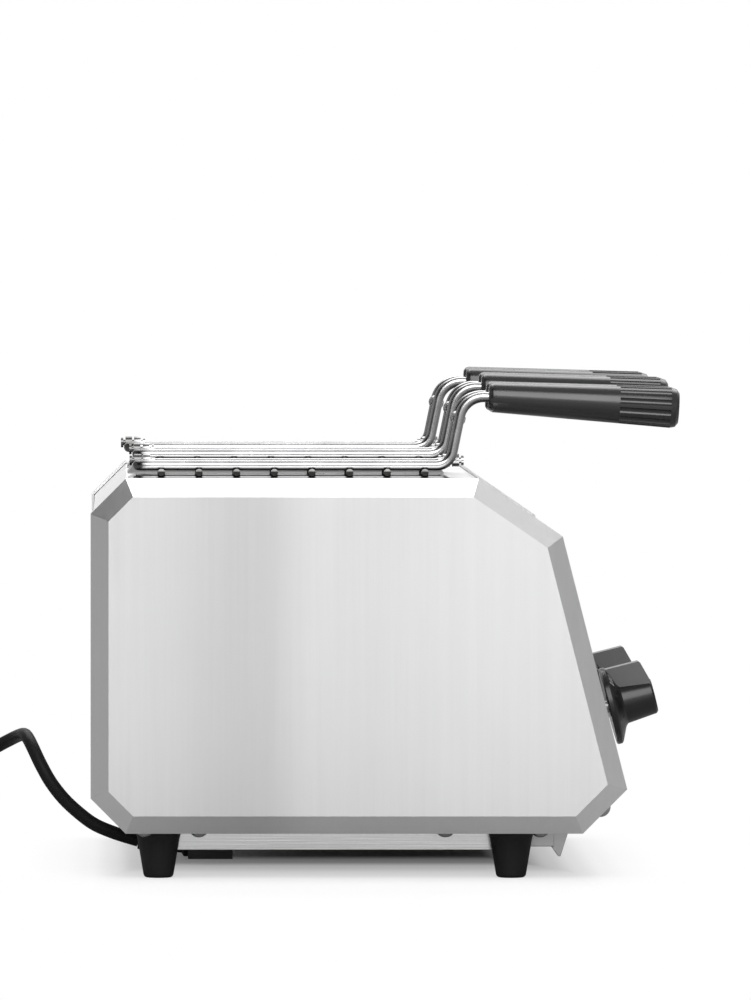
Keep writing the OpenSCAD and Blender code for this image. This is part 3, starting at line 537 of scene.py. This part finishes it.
def make_fine_speckle():
    """Tiny moulded texture with its height, for plastic and rubber."""
    group, given, out = new_group(
        "Fine Speckle",
        [("Vector", "NodeSocketVector", None), ("Scale", "NodeSocketFloat", 1500)],
        [("Height", "NodeSocketFloat")],
    )
    noise = add_noise(group, given["Vector"], given["Scale"], 2.0)
    group.links.new(noise, out["Height"])


# Materials


def brushed_steel(name, colour, roughness, direction, shade=0.94, reflection_bands=False):
    """Brushed sheet: streaks along one direction in tone, dullness and relief."""
    made, tree, place = new_material(name)
    grain = place_group(tree, "Drawn Grain",
                        {"Vector": place, "Direction": direction, "Fineness": SHEET_GRAIN})
    patches = place_group(tree, "Soft Patches",
                          {"Vector": place, "Scale": 7.0, "Low": 0.0, "High": 1.0})
    tone = grain.outputs["Tone"]
    base = mix_colours(tree, tone, rgba(colour, shade), rgba(colour, 1.03))
    # Painted reflection: soft bands of light and shade multiplied into the colour
    if reflection_bands:
        base = add_painted_reflection_bands(tree, place, base)
    dull = spread(tree, tone, 0.0, 1.0, roughness - 0.05, roughness + 0.07)
    uneven = spread(tree, patches.outputs["Value"], 0.0, 1.0, -0.02, 0.03)
    add_surface(tree, {
        "Base Color": base,
        "Metallic": 1.0,
        "Roughness": calculate(tree, "ADD", dull, uneven),
        "Normal": add_relief(tree, grain.outputs["Height"], 0.12, SKIN_RELIEF),
    })
    return made


def add_painted_reflection_bands(tree, place, base):
    """Painted reflection: broad soft bands of light and shade across a large sheet, darker towards
    the rear.
    """
    tone = add_ramp(
        tree, part_of(tree, place, "X"), REAR_X, FRONT_X,
        ((0.0, 0.92), (0.1, 0.92), (0.19, 0.85), (0.27, 0.79), (0.33, 0.81), (0.375, 0.9),
         (0.415, 0.98), (0.49, 0.94), (0.6, 0.96), (0.75, 1.0)), "B_SPLINE",
    )
    return mix_colours(tree, 1.0, base, tone, blend="MULTIPLY")


def bright_wire(name, colour, roughness, tinted=None):
    """Drawn and plated wire with fine die lines, with painted shade on a pair's tongs."""
    made, tree, place = new_material(name)
    patches = place_group(tree, "Soft Patches",
                          {"Vector": place, "Scale": 60.0, "Low": 0.0, "High": 1.0})
    grain = place_group(tree, "Drawn Grain", {"Vector": place, "Fineness": WIRE_GRAIN,
                                              "Direction": grain_along("X", 0.05)})
    uneven = patches.outputs["Value"]
    base = mix_colours(tree, uneven, rgba(colour, 0.85), rgba(colour, 1.05))
    # Painted shade on the tongs' wire
    if tinted:
        base = add_painted_shade(tree, place, base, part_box(f"{tinted}_hinge_pins")[0])
    add_surface(tree, {
        "Base Color": base,
        "Metallic": 1.0,
        "Roughness": spread(tree, uneven, 0.0, 1.0, roughness, roughness + 0.09),
        "Normal": add_relief(tree, grain.outputs["Height"], 0.08, WIRE_RELIEF),
    })
    return made


def add_painted_shade(tree, place, base, pins):
    """Painted shade: darkens tongs underneath, at the welds below their bar and at their rear eyes.
    """
    facing = add_node(tree, "ShaderNodeNewGeometry").outputs["Normal"]
    under = spread(tree, part_of(tree, facing, "Z"), 0.0, -0.65, high=0.9, smooth=True)
    start = pins.z - WELD_START
    weld = add_ramp(tree, part_of(tree, place, "Z"), start - WELD_REACH, start,
                    ((0.0, 0.0), (0.4, 0.1), (0.7, 0.97), (0.97, 0.97), (1.0, 0.0)), "LINEAR")
    eye = add_ramp(tree, part_of(tree, place, "X"), pins.x, pins.x + EYE_REACH,
                   ((0.4, 0.75), (0.8, 0.0)))
    shade_mask = calculate(tree, "MAXIMUM", under, calculate(tree, "MAXIMUM", weld, eye))
    return mix_colours(tree, shade_mask, base, rgba(PAINTED_SHADE_COLOUR))


def moulded(name, colour, low, high, relief=0.06, gloss=0.5, satin_sheen=None):
    """Moulded plastic or rubber: a fine skin, duller in soft patches and on satin flats with
    painted sheen.
    """
    made, tree, place = new_material(name)
    patches = place_group(tree, "Soft Patches",
                          {"Vector": place, "Scale": 40.0, "Low": low, "High": high})
    speckle = place_group(tree, "Fine Speckle", {"Vector": place, "Scale": 1800.0})
    height = speckle.outputs["Height"]
    base = mix_colours(tree, height, rgba(colour, 0.8), rgba(colour, 1.3))
    dull = patches.outputs["Value"]
    if satin_sheen is not None:
        base, dull = add_satin_and_painted_sheen(tree, place, base, dull, satin_sheen)
    add_surface(tree, {
        "Base Color": base,
        "Roughness": dull,
        "Normal": add_relief(tree, height, relief, SKIN_RELIEF),
        "Specular IOR Level": gloss,
    })
    return made


def knob_axes(knob):
    """Where a knob stands, its axis and the direction of its pointer."""
    joint = next(j for j in frame["joints"] if j["name"] == f"{knob}_turn")
    axis = Vector(joint["axis"]).normalized()
    return Vector(joint["pos_m"]), axis, axis.cross(SIDEWAYS)


def add_satin_and_painted_sheen(tree, place, base, dull, satin_sheen):
    """Duller skin with a paler painted sheen on both flats of a knob's pointer, beyond its round
    grip.
    """
    normal = add_node(tree, "ShaderNodeTexCoord").outputs["Normal"]
    across = calculate(tree, "ABSOLUTE", part_of(tree, normal, "Y"))
    spot, _, up = knob_axes("timer")
    start = spot.dot(up) + FLAT_START
    level = spread(tree, across, 0.975, 0.99, smooth=True)
    beyond = spread(tree, measure_along(tree, place, up), start, start + FLAT_EDGE)
    flat = calculate(tree, "MULTIPLY", level, beyond)
    return mix_colours(tree, flat, base, rgba(satin_sheen)), mix_values(tree, flat, dull, 0.5)


def milky_quartz():
    """Heaters' tubes, milky and a little uneven."""
    made, tree, place = new_material("Milky quartz")
    patches = place_group(tree, "Soft Patches",
                          {"Vector": place, "Scale": 90.0, "Low": 0.18, "High": 0.4})
    add_surface(tree, {
        "Base Color": (0.9, 0.88, 0.84, 1),
        "Roughness": patches.outputs["Value"],
        "Transmission Weight": 0.8,
        "IOR": 1.45,
    })
    return made


def striped_cores():
    """Three insulation colours, one for each core."""
    made, tree, place = new_material("Core insulation")
    low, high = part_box("core_wires")
    brown, blue, green = (0.16, 0.07, 0.03), (0.02, 0.09, 0.4), (0.25, 0.4, 0.05)
    speckle = place_group(tree, "Fine Speckle", {"Vector": place, "Scale": 1500.0})
    add_surface(tree, {
        "Base Color": add_ramp(tree, part_of(tree, place, "Y"), low.y, high.y,
                               ((0, brown), (0.33, blue), (0.66, green)), "CONSTANT"),
        "Roughness": 0.4,
        "Normal": add_relief(tree, speckle.outputs["Height"], 0.1, SKIN_RELIEF),
    })
    return made


# Stage


class TOASTER_OT_stage(bpy.types.Operator):
    """Set up the camera, the table top, the white surroundings and the softboxes"""

    bl_idname = "toaster.stage"
    bl_label = "Stage"

    def execute(self, context):
        self.camera(context)
        self.table(context)
        self.surroundings(context)
        self.softboxes(context)
        context.scene.view_settings.view_transform = "Standard"
        return {"FINISHED"}

    def camera(self, context):
        """A level long lens before the left side panel, shifted to frame the toaster."""
        given = context.scene.toaster_camera
        data = bpy.data.cameras.new("Camera")
        data.lens = given.lens
        data.sensor_width = 36
        data.shift_x, data.shift_y = given.aside, -given.down
        data.clip_start, data.clip_end = 0.5, 200
        camera = link_object("Camera", data)
        camera.location = (REAR_X + given.ahead, LEFT_Y - given.distance, given.height)
        camera.rotation_euler = (math.radians(90), 0, 0)
        context.scene.camera = camera

    def table(self, context):
        """White to the camera away from the shadow, greyer in mirrors, open from below."""
        given = context.scene.toaster_light
        (left, near), (right, far) = TABLE_CORNERS
        mesh = bpy.data.meshes.new("Table top")
        mesh.from_pydata([(left, near, 0), (right, near, 0), (right, far, 0), (left, far, 0)],
                         [], [(0, 1, 2, 3)])
        made, tree, place = new_material("Table top")
        path = add_node(tree, "ShaderNodeLightPath")
        along, aside = [
            calculate(tree, "ABSOLUTE",
                      calculate(tree, "SUBTRACT", part_of(tree, place, axis), middle))
            for axis, middle in zip("XY", SHADOW_MIDDLE)
        ]
        mirrored = mix_colours(tree, spread(tree, aside, 0.35, 0.9, smooth=True),
                               rgba(given.floor, 0.36), rgba(given.floor, 0.54))
        colour = mix_colours(tree, path.outputs["Is Glossy Ray"], rgba(given.floor), mirrored)
        clear = calculate(
            tree, "MAXIMUM",
            add_ramp(tree, along, 0.07, 0.17,
                     ((0.0, 0.0), (0.12, 0.1), (0.33, 0.44), (0.45, 0.62), (0.57, 0.78),
                      (0.7, 0.88), (0.9, 1.0))),
            add_ramp(tree, aside, 0.0, 0.4,
                     ((0.0, 0.0), (0.08, 0.0), (0.2, 0.14), (0.3, 0.4), (0.42, 0.58),
                      (0.55, 0.6), (0.71, 0.74), (0.98, 1.0))),
        )
        above = mix_shaders(tree, calculate(tree, "MULTIPLY", clear, path.outputs["Is Camera Ray"]),
                            add_node(tree, "ShaderNodeBsdfDiffuse", {"Color": colour}),
                            add_node(tree, "ShaderNodeEmission", {"Color": (1, 1, 1, 1)}))
        below = add_node(tree, "ShaderNodeNewGeometry").outputs["Backfacing"]
        both = mix_shaders(tree, below, above, add_node(tree, "ShaderNodeBsdfTransparent"))
        add_node(tree, "ShaderNodeOutputMaterial", {"Surface": both.outputs[0]})
        mesh.materials.append(made)
        link_object("table_top", mesh)

    def surroundings(self, context):
        """White to the camera; softer and striped where metal mirrors it."""
        given = context.scene.toaster_light
        world = bpy.data.worlds.new("Studio")
        world.use_nodes = True
        tree = world.node_tree
        tree.nodes.clear()
        place = add_node(tree, "ShaderNodeTexCoord").outputs["Generated"]
        height = part_of(tree, place, "Z")
        across = add_ramp(
            tree, part_of(tree, place, "X"), -1.0, 1.0,
            ((0.0, 0.36), (0.07, 0.36), (0.13, 0.26), (0.2, 0.16), (0.26, 0.3), (0.36, 0.95),
             (0.5, 1.0), (0.66, 1.0), (0.75, 0.68), (0.85, 0.44), (0.92, 0.33), (1.0, 0.34)),
        )
        upwards = add_ramp(
            tree, height, -1.0, 1.0,
            ((0.0, 0.3), (0.44, 0.8), (0.5, 1.0), (0.6, 1.0), (0.67, 0.8), (0.75, 0.5),
             (0.84, 0.45), (0.9, 0.55), (1.0, 0.6)),
        )
        bright = mix_values(tree, spread(tree, height, 0.66, 0.84, smooth=True),
                            calculate(tree, "MINIMUM", across, upwards), upwards)
        flag = spread(tree, measure_along(tree, place, FLAG), 0.74, 0.9, 1.0, 0.0, smooth=True)
        mirrored = calculate(tree, "MULTIPLY", bright, flag)
        above = spread(tree, height, 0.0, 0.5, given.fill * 0.75, given.fill, smooth=True)
        path = add_node(tree, "ShaderNodeLightPath")
        lit = mix_values(tree, path.outputs["Is Glossy Ray"], above, mirrored)
        clear = calculate(tree, "MAXIMUM", path.outputs["Is Camera Ray"],
                          path.outputs["Is Transmission Ray"])
        shade = add_node(tree, "ShaderNodeBackground", {"Color": mix_values(tree, clear, lit, 1.0)})
        add_node(tree, "ShaderNodeOutputWorld", {"Surface": shade.outputs[0]})
        context.scene.world = world

    def softboxes(self, context):
        """One softbox overhead, beyond the toaster, and one on the camera's side."""
        given = context.scene.toaster_light
        for name, power, size, spot, aim in (
            ("Overhead", given.key, (2.4, 1.6), (0.1, 1.5, 2.0), (0, 0, 0.1)),
            ("Front", given.front, (3.0, 3.0), (-0.3, -3.3, 2.75), (0, 0, 0.12)),
        ):
            data = bpy.data.lights.new(name, "AREA")
            data.energy = power
            data.shape = "RECTANGLE"
            data.size, data.size_y = size
            lamp = link_object(name, data)
            lamp.location = spot
            lamp.rotation_mode = "QUATERNION"
            lamp.rotation_quaternion = (Vector(aim) - Vector(spot)).to_track_quat("-Z", "Y")


# Pieces


def coil_point(turn, given):
    """A point of the coil, which winds in on its upper layer and out on its lower one."""
    half = given.coil_turns / 2
    radius = given.coil_radius - given.coil_pitch * (half - abs(turn - half))
    down = min(1, max(0, (turn - half + COIL_PASSAGE / 2) / COIL_PASSAGE))
    angle = math.radians(90 + 360 * turn)
    return Vector((
        REAR_X + COIL_CENTRE[0] + radius * math.cos(angle),
        COIL_CENTRE[1] + radius * math.sin(angle),
        given.diameter / 2 + given.coil_pitch * (1 - down),
    ))


class TOASTER_OT_cord(bpy.types.Operator):
    """Lay the mains cord along its route and wind its coil"""

    bl_idname = "toaster.cord"
    bl_label = "Cord"

    points_per_turn = 48

    def execute(self, context):
        given = context.scene.toaster_cord
        sheath = moulded("Cord sheath", given.colour, 0.42, 0.55, relief=0.05, gloss=0.12)
        start = [Vector((REAR_X + x, y, z)) for x, y, z in CORD_ROUTE]
        points = int(given.coil_turns * self.points_per_turn)
        coil = [coil_point(k / self.points_per_turn, given) for k in range(points + 1)]
        end = coil[-1]
        tail = [Vector((end.x + run, end.y, z)) for run, z in TAIL_RISE]
        line = ([start[0] + INTO_GLAND] + smooth_line(start + coil[:1])[:-1] + coil[:-1]
                + smooth_line([end, *tail]))
        cord = tube_curve("mains_cord", line, given.diameter, sheath, "casing")
        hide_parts("cord_run", "cord_coil")
        paint(moulded("Gland rubber", given.colour, 0.45, 0.6, relief=0.08), "cord_gland")
        paint(moulded("Plug", given.colour, 0.3, 0.4, relief=0.08), "mains_plug")
        paint(moulded("Cord tie", (0.08, 0.08, 0.085), 0.4, 0.5), "cord_tie")
        return {"FINISHED"}


class TOASTER_OT_casing(bpy.types.Operator):
    """Finish the folded sheets in brushed steel with rounded edges"""

    bl_idname = "toaster.casing"
    bl_label = "Casing"

    def execute(self, context):
        given = context.scene.toaster_steel
        # The side sheets carry painted reflection bands in their colour
        upright = brushed_steel("Brushed side sheet", given.sheet, given.roughness,
                                grain_along("Z"), reflection_bands=True)
        wrapped = brushed_steel("Brushed wrapper", given.sheet, given.roughness,
                                grain_along("Y"))
        for node in ("left_side_panel", "right_side_panel"):
            rounded_copy(node, f"{node}_dish", upright, given.fold, segments=3, angle=12)
        # The collars are dark as painted shade under the tongs' bars
        shaded_collar = brushed_steel("Collar sheet", given.shaded_collar, 0.3, grain_along("X"))
        tray = brushed_steel("Tray sheet", given.tray, 0.3, grain_along("X"))
        rail = brushed_steel("Rail sheet", given.sheet, 0.14, grain_along("X"), shade=1.0)
        for sheet, nodes in (
            (wrapped, ("top_deck", "back_panel", "control_panel", "base_plate")),
            (shaded_collar, ("slot_collars",)),
            (tray, ("crumb_tray",)),
            (rail, ("tray_rails",)),
        ):
            for node in nodes:
                rounded_copy(node, f"{node}_sheet", sheet, given.fold * 0.5)
        return {"FINISHED"}


class TOASTER_OT_inside(bpy.types.Operator):
    """Finish the inner walls, the heaters and the wiring"""

    bl_idname = "toaster.inside"
    bl_label = "Inside"

    def execute(self, context):
        steel = context.scene.toaster_steel
        plastic = context.scene.toaster_plastic
        paint(brushed_steel("Heated inner sheet", steel.inner, 0.4, grain_along("Y", 0.02),
                            shade=0.8),
              "front_bulkhead", "rear_bulkhead", "heat_shields", "wire_duct")
        paint(bright_wire("Guard wire", steel.inner, 0.3), "guard_grids")
        paint(milky_quartz(), "quartz_tubes")
        paint(bright_wire("Element wire", (0.2, 0.13, 0.09), 0.5), "heating_coils")
        paint(moulded("Ceramic", (0.72, 0.69, 0.62), 0.3, 0.5), "ceramic_caps", "terminal_block")
        paint(striped_cores(), "core_wires")
        # Black moulded plastic; on the cord entry box the dark colour also stands in as painted
        # shade under the body
        paint(moulded("Switch body", (0.05, 0.05, 0.052), 0.45, 0.6),
              "cord_entry_box", "timer", "selector_switch")
        paint(moulded("Amber lens", plastic.lamp, 0.12, 0.2), "pilot_lamp")
        return {"FINISHED"}


class TOASTER_OT_tongs(bpy.types.Operator):
    """Finish the wire tongs, their springs and their turned handles"""

    bl_idname = "toaster.tongs"
    bl_label = "Tongs"

    points_per_turn = 24

    def execute(self, context):
        steel = context.scene.toaster_steel
        plastic = context.scene.toaster_plastic
        black = moulded("Handle black", plastic.gloss, 0.22, 0.27, relief=0.02, gloss=0.7)
        for pair in PAIRS:
            # Each pair's wire carries painted shade underneath, at the welds and at the eyes
            wire = bright_wire(f"Tong wire {pair}", steel.wire, 0.2, tinted=pair)
            paint(wire, f"{pair}_hinge_pins")
            self.spring(pair, wire, steel)
            for jaw in JAWS:
                paint(wire, f"{pair}_tong_jaw_{jaw}")
                rounded_copy(f"{pair}_handle_{jaw}", f"{pair}_grip_{jaw}", black, HANDLE_EDGE)
        return {"FINISHED"}

    def spring(self, pair, wire, steel):
        """A round wire wound between the two risers, where the CAD spring lies."""
        low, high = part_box(f"{pair}_spring")
        middle = (low + high) / 2
        radius = (high.z - low.z) / 2 - steel.spring_wire / 2
        reach = (high.y - low.y) / 2 - steel.spring_wire / 2
        steps = self.points_per_turn * steel.spring_turns
        line = [
            middle + Vector((
                radius * math.cos(2 * math.pi * k / self.points_per_turn),
                reach * (2 * k / steps - 1),
                radius * math.sin(2 * math.pi * k / self.points_per_turn),
            ))
            for k in range(steps + 1)
        ]
        coil = tube_curve(f"{pair}_wound_spring", line, steel.spring_wire, wire,
                          body_of(f"{pair}_spring"), sides=4)
        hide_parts(f"{pair}_spring")


class TOASTER_OT_knobs(bpy.types.Operator):
    """Finish the knobs with their scale marks, and their shafts"""

    bl_idname = "toaster.knobs"
    bl_label = "Knobs"

    # Angle of the first marks from the pointer and between marks, in degrees
    first_angle = 31
    next_angle = 8
    # Distance of a mark's inner and outer end from the axis, and half its width
    inner_reach = 0.0148
    outer_reach = 0.0182
    half_width = 0.0005
    # Height of a mark over the skirt, its thickness, and where the search for the skirt starts
    lift = 0.00006
    thickness = 0.0002
    clear_height = 0.08

    def execute(self, context):
        steel = context.scene.toaster_steel
        plastic = context.scene.toaster_plastic
        black = moulded("Knob black", plastic.gloss, 0.24, 0.29, relief=0.02, gloss=0.5,
                        satin_sheen=plastic.satin_sheen)
        shaft = bright_wire("Shaft steel", steel.wire, 0.25)
        white = moulded("Scale paint", (0.3, 0.3, 0.29), 0.4, 0.5, relief=0.05)
        for knob in ("timer", "selector"):
            rounded_copy(f"{knob}_knob", f"{knob}_grip", black, MOULDING_EDGE, segments=3)
            self.scale(knob, white, plastic.scale_marks)
            paint(shaft, f"{knob}_shaft")
        return {"FINISHED"}

    def scale(self, knob, white, count):
        """Printed marks beside the pointer, laid on the skirt along the knob's axis."""
        spot, axis, up = knob_axes(knob)
        solid = NODES[f"{knob}_knob"].data
        skirt = BVHTree.FromPolygons([v.co for v in solid.vertices],
                                     [p.vertices for p in solid.polygons])
        work = bmesh.new()
        for k in range(2 * count):
            turn = math.radians(self.first_angle + self.next_angle * (k // 2))
            angle = turn * (1 if k % 2 else -1)
            out = math.cos(angle) * up + math.sin(angle) * SIDEWAYS
            across = axis.cross(out)
            corners = []
            for reach, half in ((self.inner_reach, -1), (self.inner_reach, 1),
                                (self.outer_reach, 1), (self.outer_reach, -1)):
                start = (spot + axis * self.clear_height + out * reach
                         + across * half * self.half_width)
                place = skirt.ray_cast(start, -axis)[0]
                if place is None:
                    raise RuntimeError(f"no skirt under a mark of {knob}")
                corners.append(place + axis * self.lift)
            low = [work.verts.new(c - axis * self.thickness) for c in corners]
            high = [work.verts.new(c) for c in corners]
            work.faces.new(high)
            work.faces.new(low[::-1])
            for i in range(4):
                work.faces.new((low[i], low[(i + 1) % 4], high[(i + 1) % 4], high[i]))
        bmesh.ops.recalc_face_normals(work, faces=work.faces)
        mesh = bpy.data.meshes.new(f"{knob}_scale")
        work.to_mesh(mesh)
        work.free()
        mesh.materials.append(white)
        marks = link_object(f"{knob}_scale", mesh)
        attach(marks, body_of(f"{knob}_knob"))


class TOASTER_OT_feet(bpy.types.Operator):
    """Finish the rubber feet and the screws"""

    bl_idname = "toaster.feet"
    bl_label = "Feet and screws"

    def execute(self, context):
        plastic = context.scene.toaster_plastic
        steel = context.scene.toaster_steel
        rubber = moulded("Foot rubber", plastic.rubber, 0.45, 0.6, relief=0.1, gloss=0.2)
        for end in ("rear", "front"):
            for side in ("left", "right"):
                rounded_copy(f"foot_{end}_{side}", f"rubber_foot_{end}_{side}", rubber,
                             MOULDING_EDGE)
        paint(bright_wire("Screw steel", steel.wire, 0.22), "case_screws", "foot_screws")
        return {"FINISHED"}


class TOASTER_PT_panel(bpy.types.Panel):
    """The toaster's pieces and their settings"""

    bl_idname = "TOASTER_PT_panel"
    bl_label = "Counter Toaster"
    bl_space_type = "VIEW_3D"
    bl_region_type = "UI"
    bl_category = "Toaster"

    def draw(self, context):
        for operator in OPERATORS:
            self.layout.operator(operator.bl_idname)
        for name, group in SETTINGS.items():
            box = self.layout.box()
            box.label(text=group.__doc__)
            for key in group.__annotations__:
                box.prop(getattr(context.scene, name), key)


SETTINGS = {
    "toaster_camera": CameraSettings,
    "toaster_light": LightSettings,
    "toaster_steel": SteelSettings,
    "toaster_plastic": PlasticSettings,
    "toaster_cord": CordSettings,
}
OPERATORS = (
    TOASTER_OT_stage,
    TOASTER_OT_cord,
    TOASTER_OT_casing,
    TOASTER_OT_inside,
    TOASTER_OT_tongs,
    TOASTER_OT_knobs,
    TOASTER_OT_feet,
)


def register():
    for group in SETTINGS.values():
        bpy.utils.register_class(group)
    for operator in OPERATORS:
        bpy.utils.register_class(operator)
    bpy.utils.register_class(TOASTER_PT_panel)
    for name, group in SETTINGS.items():
        setattr(bpy.types.Scene, name, PointerProperty(type=group))


def unregister():
    for name in SETTINGS:
        delattr(bpy.types.Scene, name)
    bpy.utils.unregister_class(TOASTER_PT_panel)
    for operator in reversed(OPERATORS):
        bpy.utils.unregister_class(operator)
    for group in reversed(SETTINGS.values()):
        bpy.utils.unregister_class(group)


def main():
    register()
    make_drawn_grain()
    make_soft_patches()
    make_fine_speckle()
    for operator in OPERATORS:
        name = operator.bl_idname.split(".")[1]
        getattr(bpy.ops.toaster, name)()


if __name__ == "__main__":
    main()
